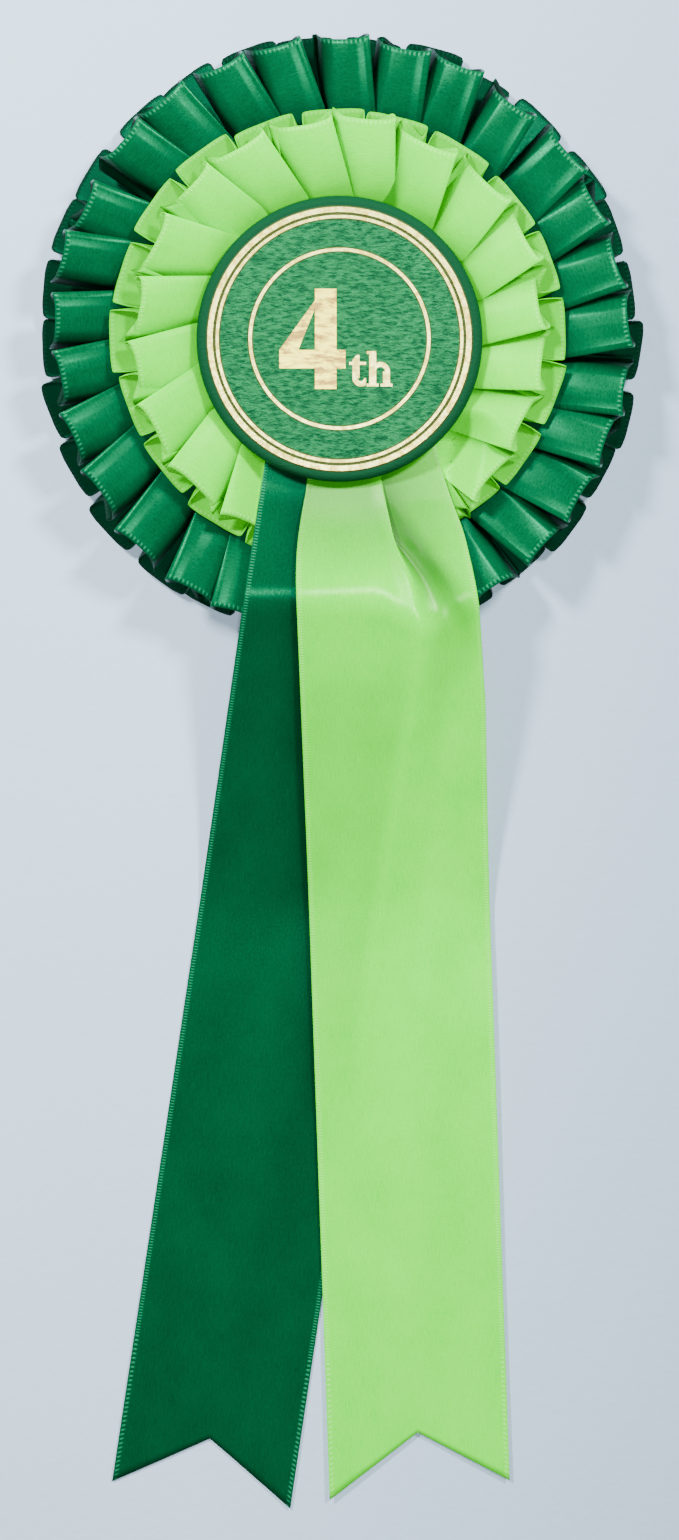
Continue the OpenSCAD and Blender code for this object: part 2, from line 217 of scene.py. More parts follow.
def satin(name, shade, face, deep, stitches, shine, roughness, width, pitch, gloss):
    """Woven satin ribbon. Its UV map is in metres: U along the ribbon, V across it. Each mesh point's
    painted shade, 0 to 1, darkens the colour towards deep, for shade in folds, beside pleats and under
    other parts, and roughens it a little. Colours run from shade to face; pitch is the stitches' spacing."""
    s = Shader(name)
    uv = s.add("ShaderNodeUVMap", uv_map="cloth").outputs[0]
    u, v = s.parts(uv)
    warp = s.noise(s.stretched(uv, WARP), 1.0, 2.0, 0.6)
    slub = s.noise(s.stretched(uv, SLUB), 1.0, 3.0, 0.65)
    cloud = s.noise(s.stretched(uv, CLOUD), 1.0, 2.0)
    edge = s.math("MINIMUM", v, s.math("SUBTRACT", width, v))
    wave = s.math("SINE", s.times(u, 2 * math.pi / pitch))
    band = s.times(s.ramp(edge, *STITCH_START), s.ramp(edge, *STITCH_END))
    stitch = s.times(band, s.ramp(wave, 0.0, 0.6))
    tone = s.plus(s.plus(s.times(warp, 0.4), s.times(cloud, 0.3)), s.times(slub, 0.3))
    colour = s.mix(s.ramp(tone, 0.36, 0.64), shade, face)
    colour = s.mix(s.times(stitch, 0.45), colour, stitches)
    colour = s.mix(s.times(s.ramp(edge, *SELVAGE), 0.1), colour, stitches)
    # painted shade: the mesh's per-point value mixes the colour towards deep, and roughens it a little
    painted_shade = s.add("ShaderNodeAttribute", attribute_name="painted_shade").outputs["Fac"]
    colour = s.mix(painted_shade, colour, deep)
    height = s.plus(s.plus(s.times(warp, 0.5), s.times(slub, 0.8)), stitch)
    tangent = s.add("ShaderNodeTangent", direction_type="UV_MAP", uv_map="cloth")
    worn = s.ramp(slub, 0.3, 0.7, roughness - 0.05, roughness + 0.08)
    return s.finish(Base_Color=colour, Metallic=0.0, Roughness=s.plus(worn, s.times(painted_shade, 0.18)),
                    Normal=s.bump(height, 0.00007, 0.4), Tangent=tangent.outputs[0],
                    Anisotropic=0.7, Anisotropic_Rotation=0.25, Specular_Tint=shine,
                    Specular_IOR_Level=gloss)


def leatherette():
    """Embossed facing: fine creases that run across the button, and a smooth stretched rim that is painted
    darker, as painted shade where it rolls over.
    """
    s = Shader("leatherette")
    place = s.place()
    x, y = s.parts(place)
    radius = s.math("SQRT", s.plus(s.math("POWER", x, 2.0), s.math("POWER", y, 2.0)))
    crease = s.noise(s.stretched(place, CREASES), 1.0, 5.0, 0.6)
    pore = s.noise(s.stretched(place, PORES), 1.0, 2.0)
    wide = s.noise(place, 90.0, 2.0)
    field = s.mix(s.ramp(crease, 0.38, 0.60), FACING_VALLEY, FACING_RIDGE)
    field = s.mix(s.ramp(wide, 0.3, 0.7, 0.0, 0.3), field, FACING_VALLEY)
    rim = s.ramp(radius, SMOOTH_FROM * MM, SMOOTH_FULL * MM)
    # painted shade: the rolled rim is painted darker
    colour = s.mix(rim, field, FACING_RIM_PAINTED_SHADE)
    for low, high in RING_EDGES:
        band = s.times(s.ramp(radius, (low - RING_EDGE_BLUR) * MM, (low + RING_EDGE_BLUR) * MM),
                       s.ramp(radius, (high + RING_EDGE_BLUR) * MM, (high - RING_EDGE_BLUR) * MM))
        colour = s.mix(s.times(band, 0.9), colour, RING_EDGE)
    calm = s.ramp(rim, 0.0, 1.0, 1.0, 0.25)
    height = s.times(s.plus(crease, s.times(pore, 0.4)), calm)
    worn = s.ramp(crease, 0.3, 0.7, 0.5, 0.4)
    return s.finish(Base_Color=colour, Roughness=s.math("MAXIMUM", worn, s.times(rim, 0.8)),
                    Normal=s.bump(height, 0.0006), Specular_IOR_Level=0.4, Specular_Tint=FACING_SHINE)


def gold_foil(name, deep, pale, grain):
    s = Shader(name)
    place = s.place()
    mottle = s.noise(s.stretched(place, grain), 1.0, 4.0, 0.65)
    fine = s.noise(place, SPECKS, 2.0)
    return s.finish(Base_Color=s.mix(s.ramp(mottle, 0.43, 0.54), deep, pale),
                    Roughness=s.ramp(mottle, 0.3, 0.7, 0.45, 0.3),
                    Normal=s.bump(s.plus(mottle, s.times(fine, 0.3)), 0.00008, 0.4),
                    Metallic=0.3, Specular_IOR_Level=0.8)


def metal(name, colour, roughness, streak):
    s = Shader(name)
    place = s.place()
    brushed = s.noise(s.stretched(place, streak), 1.0, 3.0)
    smudge = s.noise(place, 180.0, 3.0)
    dull = tuple(c * 0.75 for c in colour[:3]) + (1.0,)
    return s.finish(Base_Color=s.mix(s.ramp(smudge, 0.4, 0.75), colour, dull), Metallic=1.0,
                    Roughness=s.ramp(brushed, 0.3, 0.7, roughness, roughness + 0.16),
                    Normal=s.bump(brushed, 0.00003, 0.25))


def paper(name, light, dark, grain):
    s = Shader(name)
    place = s.place()
    fibre = s.noise(s.stretched(place, grain), 1.0, 5.0, 0.7)
    speck = s.noise(place, SPECKS, 2.0)
    colour = s.mix(s.ramp(fibre, 0.35, 0.7), dark, light)
    colour = s.mix(s.ramp(speck, 0.68, 0.8, 0.0, 0.5), colour, dark)
    return s.finish(Base_Color=colour, Roughness=0.85, Normal=s.bump(fibre, 0.00008, 0.4))


def foam():
    s = Shader("foam")
    cell = s.add("ShaderNodeTexVoronoi", Scale=FOAM_CELLS)
    s.link(s.place(), cell.inputs["Vector"])
    shade = s.ramp(cell.outputs["Distance"], 0.0, 0.6)
    return s.finish(Base_Color=s.mix(shade, FOAM_CELL, FOAM_WALL), Roughness=0.9,
                    Normal=s.bump(shade, 0.0002, 0.5))


def thread(name, light, dark):
    s = Shader(name)
    fibre = s.noise(s.stretched(s.place(), THREAD_FIBRE), 1.0, 3.0)
    return s.finish(Base_Color=s.mix(fibre, dark, light), Roughness=0.7, Sheen_Weight=0.4,
                    Normal=s.bump(fibre, 0.00005, 0.5))


def table_top():
    """A matt sheet, paler on the left of the rosette than on its right: painted shade, as the light falls off
    to the right.
    """
    s = Shader("table_top")
    place = s.place()
    cloud = s.noise(place, 6.0, 3.0)
    tooth = s.noise(place, 420.0, 4.0, 0.6)
    x, _ = s.parts(place)
    # painted shade from left to right, times a faint random cloud
    pale = s.times(s.ramp(x, -0.03, 0.08, 1.0, 0.25), s.ramp(cloud, 0.3, 0.7, 0.85, 1.0))
    return s.finish(Base_Color=s.mix(pale, TABLE_PAINTED_SHADE, TABLE_PALE), Roughness=0.8,
                    Normal=s.bump(tooth, 0.0004, 0.25))


# What the frill and the tail of one dye share: deep, the colour their painted shade darkens to, and stitches
DARK_DYE_AND_SHADE = dict(deep=(0.0, 0.003, 0.001, 1), stitches=(0.02, 0.30, 0.13, 1), shine=(0.0, 1.0, 0.42, 1))
LIGHT_DYE_AND_SHADE = dict(deep=(0.0, 0.11, 0.0, 1), stitches=(0.34, 0.96, 0.14, 1))
LOOKS = {
    "dark_frill": satin("satin_dark_frill", (0.0, 0.042, 0.012, 1), (0.0, 0.088, 0.030, 1), **DARK_DYE_AND_SHADE,
                        roughness=0.27, width=FRILL_W, pitch=FRILL_STITCH, gloss=0.25),
    "light_frill": satin("satin_light_frill", (0.04, 0.70, 0.0, 1), (0.11, 0.92, 0.004, 1), **LIGHT_DYE_AND_SHADE,
                         shine=(0.55, 1.0, 0.30, 1), roughness=0.36, width=FRILL_W, pitch=FRILL_STITCH,
                         gloss=0.2),
    "dark_tail": satin("satin_dark_tail", (0.0, 0.034, 0.010, 1), (0.0, 0.058, 0.020, 1), **DARK_DYE_AND_SHADE,
                       roughness=0.30, width=TAIL_W, pitch=TAIL_STITCH, gloss=0.34),
    "light_tail": satin("satin_light_tail", (0.04, 0.70, 0.0, 1), (0.11, 0.92, 0.008, 1), **LIGHT_DYE_AND_SHADE,
                        shine=(0.9, 1.0, 0.6, 1), roughness=0.26, width=TAIL_W, pitch=TAIL_STITCH, gloss=0.4),
    "facing": leatherette(),
    "foil": gold_foil("gold_foil", (0.34, 0.19, 0.0, 1), (0.80, 0.68, 0.02, 1), (240, 650, 300)),
    "foil_line": gold_foil("gold_foil_line", (0.60, 0.48, 0.05, 1), (0.84, 0.78, 0.20, 1), (900, 900, 300)),
    "wire": metal("staple_wire", (0.62, 0.63, 0.65, 1), 0.26, (300, 300, 3000)),
    "plate": metal("nickel_plate", (0.66, 0.66, 0.67, 1), 0.2, (300, 2500, 300)),
    "needle": metal("needle_steel", (0.72, 0.73, 0.75, 1), 0.14, (200, 3000, 3000)),
    "card": paper("grey_board", (0.62, 0.56, 0.46, 1), (0.42, 0.37, 0.29, 1), (500, 900, 700)),
    "cover": paper("white_card", (0.86, 0.84, 0.79, 1), (0.70, 0.68, 0.62, 1), (350, 700, 500)),
    "foam": foam(),
    "dark_thread": thread("green_thread", (0.02, 0.26, 0.14, 1), (0.0, 0.12, 0.06, 1)),
    "light_thread": thread("lime_thread", (0.50, 0.86, 0.36, 1), (0.28, 0.62, 0.18, 1)),
    "table": table_top(),
}


# ---------------------------------------------------------------- mesh helpers

def mesh_object(name, verts, faces, material, uvs=None, painted_shade=None):
    """uvs holds one (u, v) pair for each corner of each face, in order. The last argument holds one
    value of painted shade for each vertex."""
    mesh = bpy.data.meshes.new(name)
    mesh.from_pydata([tuple(map(float, p)) for p in verts], [], faces)
    if uvs is not None:
        layer = mesh.uv_layers.new(name="cloth")
        layer.data.foreach_set("uv", np.asarray(uvs, np.float32).ravel())
    if painted_shade is not None:
        attribute = mesh.attributes.new("painted_shade", "FLOAT", "POINT")
        attribute.data.foreach_set("value", np.asarray(painted_shade, np.float32).ravel())
    mesh.validate()
    obj = bpy.data.objects.new(name, mesh)
    bpy.context.scene.collection.objects.link(obj)
    obj.data.materials.append(material)
    mesh.shade_smooth()
    return obj


def cloth_grid(name, grid, u, v, material, painted_shade, closed=False):
    """A sheet from a grid of points [along, across, xyz]. u and v are its flat coordinates in metres."""
    rows, cols = grid.shape[:2]
    faces, uvs = [], []
    for i in range(rows if closed else rows - 1):
        j = (i + 1) % rows
        u0, u1 = u[i], u[i + 1]
        for k in range(cols - 1):
            faces.append((i * cols + k, j * cols + k, j * cols + k + 1, i * cols + k + 1))
            uvs.extend(((u0, v[k]), (u1, v[k]), (u1, v[k + 1]), (u0, v[k + 1])))
    return mesh_object(name, grid.reshape(-1, 3), faces, material, uvs, painted_shade)


def apply_modifiers(obj):
    graph = bpy.context.evaluated_depsgraph_get()
    mesh = bpy.data.meshes.new_from_object(obj.evaluated_get(graph))
    old = obj.data
    obj.modifiers.clear()
    obj.data = mesh
    bpy.data.meshes.remove(old)


CLOTH_T = 0.22 * MM


def thicken(obj):
    solid = obj.modifiers.new("cloth_thickness", "SOLIDIFY")
    solid.thickness = CLOTH_T
    solid.offset = 0
    solid.use_even_offset = False
    apply_modifiers(obj)


def run_lengths(points):
    """The distance along a row of points, from 0 at the first one."""
    return np.concatenate([[0], np.cumsum(np.linalg.norm(np.diff(points, axis=0), axis=1))])


def spline(points, samples, ease=0.3):
    """A smooth curve through rows of numbers, sampled evenly between knots (a cardinal spline).
    A small ease keeps the curve tight, so it does not swing out past its knots."""
    points = np.asarray(points, float)
    count = len(points) - 3
    out = []
    for i in range(count):
        p0, p1, p2, p3 = points[i:i + 4]
        t = np.linspace(0, 1, samples, endpoint=False)[:, None]
        blend = 3 * t ** 2 - 2 * t ** 3
        out.append(p1 + (p2 - p1) * blend + ease * (p2 - p0) * (t ** 3 - 2 * t ** 2 + t)
                   + ease * (p3 - p1) * (t ** 3 - t ** 2))
    return np.concatenate(out)


# ---------------------------------------------------------------- how the tails drape

# Both tails, in mm. A D is a distance below the axis, and a Z a height of the middle of the pair
HEAD_D = 21.0                                    # their upper ends, under the button
HINGE_D, HINGE_Z, HEAD_SLOPE = 31.0, 14.55, 0.345   # where they leave it, and the slope above that
CREST_D, CREST_Z = 53.0, 18.5                    # where they bend over the inner frill's edge
FOOT_D, TABLE_Z, FALL_POWER = 120.0, 0.6, 1.25   # where they reach the table
BEND = 3.0                                       # half length of each bend
PAIR_STEP = 0.7                                  # between the middles of the two ribbons
HALF_W, NOTCH = 19.0, 12.0                       # half width, depth of the V cut
DARK_ROOT_X, DARK_TILT, DARK_REACH = 7.7, -8.6, 246.5    # place at the axis, tilt in degrees, tips
LIGHT_ROOT_X, LIGHT_TILT, LIGHT_REACH = 8.43, 2.0, 242.5
LIGHT_SLANT = 2.7                                # how much farther its left tip reaches than its right one

# The dip of the crest where the tuck crosses it
DIP_X, DIP_DEPTH = (8.0, 18.0, 26.5), (0.0, 6.0, 0.0)
DIP_FROM, DIP_GROWS, DIP_END, DIP_FADES = 33, 10, 105, 40

# What lies under the tails: their edges there, and how it gives way
DARK_LEFT_W = 19.4
DARK_RIGHT_W, DARK_RIGHT_SLOPE = 19.2, 0.155
TUCK_W, TUCK_FROM_D, TUCK_SLOPE = 10.5, 24, 0.33
PRESS_GAP, PRESS_SLOPE, PRESS_SOFT, PRESS_END_D = 0.75, 0.9, 1.2, 90


def drape(d):
    """Height in mm of the middle of the pair of tails, at a distance d mm below the axis."""
    d = np.asarray(d, float)
    samples = 9
    total = 0
    for shift in np.linspace(-BEND, BEND, samples):
        at = d + shift
        head = HINGE_Z - HEAD_SLOPE * (HINGE_D - at)
        rise = HINGE_Z + (CREST_Z - HINGE_Z) * (at - HINGE_D) / (CREST_D - HINGE_D)
        left = np.clip((FOOT_D - at) / (FOOT_D - CREST_D), 0, 1)
        fall = TABLE_Z + (CREST_Z - TABLE_Z) * left ** FALL_POWER
        total = total + np.where(at <= HINGE_D, head, np.where(at <= CREST_D, rise, fall))
    return total / samples


def crest_dip(x, d):
    """How far in mm the crest of the drape slips down the ribbons, where the tuck runs over it."""
    total = 0
    shifts = (-1.2, 0, 1.2)
    for shift in shifts:
        total = total + np.interp(x + shift, DIP_X, DIP_DEPTH) / len(shifts)
    return total * np.clip((d - DIP_FROM) / DIP_GROWS, 0, 1) * np.clip((DIP_END - d) / DIP_FADES, 0, 1)


def under_tails(x, y, z):
    """Presses a frill's height z down where the tails lie on it; everything is in mm."""
    d = -y
    left = DARK_ROOT_X - math.tan(math.radians(-DARK_TILT)) * d - DARK_LEFT_W
    right = np.maximum(LIGHT_ROOT_X + TUCK_W + TUCK_SLOPE * (d - TUCK_FROM_D),
                       DARK_ROOT_X - DARK_RIGHT_SLOPE * d + DARK_RIGHT_W)
    away = np.maximum(np.maximum(left - x, x - right), 0)
    away = np.hypot(away, np.maximum(HEAD_D - d, 0))
    limit = drape(np.clip(d - crest_dip(x, d), HEAD_D, PRESS_END_D)) - PRESS_GAP + PRESS_SLOPE * away
    soft = PRESS_SOFT
    over = z - (limit - soft)
    return np.where(over > 0, limit - soft + soft * (1 - np.exp(-np.maximum(over, 0) / soft)), z)


# ---------------------------------------------------------------- frills

# Across a front panel: place from -1 to 1, rise of its edge in mm, and how far its edge stands out
OUTER_SHAPE = ((-1.0, -4.6, 0.9), (-0.93, -3.4, 0.5), (-0.76, -2.0, 0.0), (-0.4, -0.75, -0.1),
               (0.1, 0.0, 0.0), (0.5, 0.35, 0.2), (0.8, 0.4, 0.5), (0.94, 0.2, 0.7), (1.0, -0.1, 0.8))
INNER_SHAPE = ((-1.0, -3.4, 1.0), (-0.94, -2.8, 0.6), (-0.78, -1.9, 0.0), (-0.4, -1.0, -0.1),
               (0.1, -0.1, 0.0), (0.5, 0.4, 0.2), (0.8, 0.6, 0.5), (0.94, 0.55, 0.8), (1.0, 0.35, 0.9))
# Across a back panel: share of its half width, step from there in mm, rise of its edge in mm, share of
# corner_cut, frontness
BACK_SHAPE = ((-1, 0, 0.7, 1, 0.12), (-1, 0.5, 0.2, 0.33, 0.04), (-0.5, 0, 0, 0, 0),
              (0.5, 0, 0, 0, 0), (1, -0.5, 0.2, 0.33, 0.04), (1, 0, 0.7, 1, 0.12))
ROOT_TILT = 0.09           # how much a front panel's right side lies above its left one at the root
END_REACH = 1.1            # front panels stand out more at the top and the bottom than at the sides
STEEPEST = 0.02            # the least share of a step, squared, that still runs outwards
SAMPLES, RINGS = 7, 26     # points between two knots, and across the ribbon
FRILL_MM = FRILL_W / MM


def frill(name, body, node, look, pleats, start_deg, panel, back, root_front, root_back,
          edge_front, edge_back, flat_share, puff, shape, skew, seed, cover_r, step_dark, back_dark,
          notch_in, off_y, corner_cut):
    """One box-pleated ribbon, closed in a ring. Every point keeps its distance along the ribbon's
    width from the root. All sizes here are in millimetres.
    root_* are (radius, height) pairs. cover_r is the radius of what lies on the frill, which casts a
    painted shadow just outside it; step_dark and back_dark are how much painted shade goes beside a
    pleat's step and on the back panels. The folds between two back panels stand in from the front by
    notch_in, the ring's middle is off_y above the axis, and the back panels' corners are rounded in by
    corner_cut. A knot is: frame angle, sideways place, root radius, root height, edge height, frontness,
    lean."""
    rng = np.random.default_rng(seed)
    pitch = 2 * math.pi / pleats

    def vary(size):
        return np.clip(rng.normal(0, size, pleats), -2 * size, 2 * size)

    turn, wide, high, low, out, lean, roll = map(vary, (0.014, 0.02, 0.35, 0.3, 0.4, 0.02, 0.25))
    back_out, back_turn = map(vary, (0.45, 0.35))
    knots = []
    for i in range(pleats):
        a = math.radians(start_deg) - pitch * i + turn[i]
        b = a - pitch / 2
        w = panel / 2 * (1 + wide[i])
        wb = back / 2 * (1 + wide[i] * 0.5)
        zf, zb = edge_front + high[i], edge_back + low[i]
        rf, hf = root_front
        rb, hb = root_back
        rf += out[i] + END_REACH * (2 * math.sin(a) ** 2 - 1)
        rb += back_out[i]
        drop = zf - zb
        for t, dz, far in shape:
            dz = dz * (1 + roll[i])
            knots.append((a, w * t, rf + far, hf + ROOT_TILT * w * t, zf + dz, 1.0, lean[i]))
        corner = rf + shape[-1][2]
        half_way = (hf + hb) / 2
        # from the front's right side, in and down to the back panel
        knots += [(a, w - 0.2, corner + 0.1, hf + ROOT_TILT * w - 0.25, zf - 0.9, 0.92, lean[i]),
                  (a, w - 1.0, corner, half_way + 0.2, zf - drop * 0.35, 0.65, lean[i]),
                  (a - pitch * 0.3, -wb * 0.50, rf - notch_in, half_way - 0.2, zf - drop * 0.68, 0.3,
                   lean[i])]
        for part, inset, dz, cut, f in BACK_SHAPE:
            t = wb * part + inset
            knots.append((b, t, rb + back_turn[i] * t / wb - corner_cut * cut, hb, zb + dz, f, lean[i]))
        # from the back panel, out and up to the next front's left side
        j = (i + 1) % pleats
        knots += [(b - pitch * 0.2, wb * 0.45, rf - notch_in, half_way - 0.3, zf - drop * 0.70, 0.3, lean[j]),
                  (b - pitch * 0.4, -w * 0.62, rf + 0.9, half_way, zf - drop * 0.42, 0.6, lean[j])]
    knots = np.array(knots)
    full_turn = np.array([2 * math.pi] + [0] * (knots.shape[1] - 1))
    knots = np.vstack([knots[-1:] + full_turn, knots, knots[:2] - full_turn])
    path = spline(knots, SAMPLES)
    across = np.linspace(0, FRILL_MM, RINGS + 1)
    step = across[1]
    share = across / FRILL_MM
    grid = np.zeros((len(path), RINGS + 1, 3))
    painted_shade = np.zeros((len(path), RINGS + 1))
    for i, (angle, side, radius, z0, z1, f, leaning) in enumerate(path):
        lifted = np.clip((share - flat_share) / (1 - flat_share), 0, 1)
        rise = f * (1 - (1 - lifted) ** puff) + (1 - f) * (0.15 * share + 0.85 * share ** 1.4)
        z = z0 + (z1 - z0) * rise
        run = np.sqrt(np.maximum(step ** 2 - np.diff(z) ** 2, STEEPEST * step ** 2))
        rho = radius + np.concatenate([[0], np.cumsum(run)])
        slide = side + (skew + leaning) * (across[-1] - across)
        c, s = math.cos(angle), math.sin(angle)
        grid[i, :, 0] = c * rho + s * slide
        grid[i, :, 1] = s * rho - c * slide + off_y
        grid[i, :, 2] = z
        # painted shade: beside the step to the next pleat, on the back panels, and a painted shadow under
        # what lies on them
        from_step = np.maximum(rho * pitch - panel / 2 + side, 0)
        front = np.clip((f - 0.45) / 0.5, 0, 1)
        under = 0.45 * np.exp(-np.maximum(rho - cover_r, 0) / 2.2)
        dropped = np.clip((edge_front - 0.9 - z1) / 2.4, 0, 1) * np.clip(share * 2.0 - 0.2, 0, 1)
        crease = step_dark * np.maximum(np.minimum(1.35 * np.exp(-from_step / 1.4), 1), dropped)
        painted_shade[i] = np.maximum(front * crease + (1 - front) * back_dark, under)
    grid[..., 2] = under_tails(grid[..., 0], grid[..., 1], grid[..., 2])
    grid *= MM
    middle = grid[:, RINGS // 2]
    u = run_lengths(np.vstack([middle, middle[:1]]))
    obj = cloth_grid(name, grid, u, across * MM, LOOKS[look], np.clip(painted_shade, 0, 1), closed=True)
    thicken(obj)
    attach(obj, body)
    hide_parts(node)


frill("outer_frill_ribbon", "root", "outer_frill", "dark_frill",
      pleats=29, start_deg=90, panel=11.4, back=12.1, root_front=(35.3, 9.3), root_back=(39.0, 8.5),
      edge_front=14.4, edge_back=2.2, flat_share=0.2, puff=1.8, shape=OUTER_SHAPE,
      skew=0.09, seed=4, cover_r=47.0, step_dark=0.97, back_dark=0.93, notch_in=0.4, off_y=0.8,
      corner_cut=1.4)
frill("inner_frill_ribbon", "root", "inner_frill", "light_frill",
      pleats=20, start_deg=100.6, panel=13.2, back=12.7, root_front=(19.4, 9.9), root_back=(21.9, 8.7),
      edge_front=17.6, edge_back=13.6, flat_share=0.15, puff=2.0, shape=INNER_SHAPE,
      skew=0.10, seed=11, cover_r=29.2, step_dark=0.9, back_dark=0.5, notch_in=1.6, off_y=1.1,
      corner_cut=0.7)


# ---------------------------------------------------------------- tails

SMOOTHING = 2.5                       # half of the length in mm that follow() takes its mean over
HEAD_STEP, CREASED_D, LOWER_STEP = 0.7, 75, 2.0     # rows are closer above CREASED_D
COLUMNS, STRAIGHT_D, END_ROWS = 152, 215.0, 16      # rows below STRAIGHT_D close up to the V cut
WAVES_FROM, WAVES_GROW, WAVE_HEIGHT = 95, 40, 0.5


def follow(d, stops):
    """A smooth value along the ribbon from (distance, value) stops."""
    xs, ys = zip(*stops)
    fine = np.interp(d[:, None] + np.linspace(-SMOOTHING, SMOOTHING, 11)[None, :], xs, ys)
    return fine.mean(axis=1)


def soften(path, sigma):
    """Rounds a cross-section path: each point becomes a weighted mean of its neighbours."""
    span = int(3 * sigma)
    weights = np.exp(-0.5 * (np.arange(-span, span + 1) / sigma) ** 2)
    weights /= weights.sum()
    first = path[0] - (path[1] - path[0]) * np.arange(span, 0, -1)[:, None]
    last = path[-1] + (path[-1] - path[-2]) * np.arange(1, span + 1)[:, None]
    padded = np.vstack([first, path, last])
    return np.stack([np.convolve(padded[:, k], weights, "valid") for k in range(path.shape[1])], axis=1)


def waves(x, y):
    """The slow unevenness of both tails in mm, nothing near the rosette and never below the table."""
    d = -y
    grow = np.clip((d - WAVES_FROM) / WAVES_GROW, 0, 1)
    swell = 0.5 + 0.5 * np.sin(d / 17.0 + x * 0.05) * np.cos(x * 0.11 + 0.6)
    return grow * WAVE_HEIGHT * swell


def tail(name, nodes, look, root_x, tilt, reach, slant, lift, section, shade):
    """A satin ribbon with a V cut at its end. section(d) gives the places and heights of its
    cross-section's corners, from the left edge to the right one, for each distance d down it, and
    the corners' painted shade. shade(x, d) gives the least painted shade of any point."""
    across = np.linspace(0, 2 * HALF_W, COLUMNS + 1)
    upper = np.concatenate([np.arange(HEAD_D, CREASED_D, HEAD_STEP),
                            np.arange(CREASED_D, STRAIGHT_D, LOWER_STEP)])
    ends = (reach + slant * (0.5 - across / (2 * HALF_W))
            - NOTCH * (1 - np.abs(across / HALF_W - 1)))
    rows = [np.full(COLUMNS + 1, value) for value in upper]
    rows += [STRAIGHT_D + (ends - STRAIGHT_D) * share for share in np.linspace(0, 1, END_ROWS)]
    rows = np.array(rows)
    places, heights, painted_shades = section(rows[:, 0])
    grid = np.zeros(rows.shape + (3,))
    painted_shade = np.zeros(rows.shape)
    angle = math.radians(tilt)
    for i, along in enumerate(rows):
        corners = np.stack([places[i], heights[i]], axis=1)
        reached = run_lengths(corners)
        at = across / across[-1] * reached[-1]
        path = np.stack([np.interp(at, reached, corners[:, k]) for k in (0, 1)], axis=1)
        path = soften(path, 2.0)
        painted_shade[i] = np.interp(at, reached, painted_shades[i])
        x = root_x + path[:, 0] * math.cos(angle) + along * math.sin(angle)
        y = path[:, 0] * math.sin(angle) - along * math.cos(angle)
        grid[i, :, 0], grid[i, :, 1] = x, y
        painted_shade[i] = np.maximum(painted_shade[i], shade(x, -y))
        grid[i, :, 2] = drape(-y - crest_dip(x, -y)) + lift + path[:, 1] + waves(x, y)
    grid *= MM
    u = run_lengths(grid[:, COLUMNS // 2])
    obj = cloth_grid(name, grid, u, across * MM, LOOKS[look], painted_shade)
    thicken(obj)
    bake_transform(obj)
    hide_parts(*nodes)


def dark_section(d):
    """The dark tail's right part is gathered a little at its head, under the light tail."""
    right = follow(d, ((21, 13.8), (28, 14.2), (34, 16.5), (42, 19), (60, 19)))
    none = np.zeros_like(d)
    # painted shade on the head, where it lies under the button's edge
    painted_disc_shade = 0.4 * np.exp(-np.maximum(d - 28, 0) / 3.0)
    places = np.stack([none - HALF_W, none, (4 + right) / 2, right], axis=1)
    heights = np.stack([none, none, (right - HALF_W) * 0.06, none], axis=1)
    return places, heights, np.stack([painted_disc_shade] * 4, axis=1)


def light_tail_painted_shadow(x, d):
    """Painted shadow of the light tail's left edge on the dark tail, also under that edge."""
    edge = LIGHT_ROOT_X - HALF_W + math.tan(math.radians(LIGHT_TILT)) * d
    return 0.6 * np.exp(-np.maximum(edge - x, 0) / 2.2) * np.clip((195 - d) / 50, 0, 1)


def no_shade(x, d):
    return np.zeros_like(x)


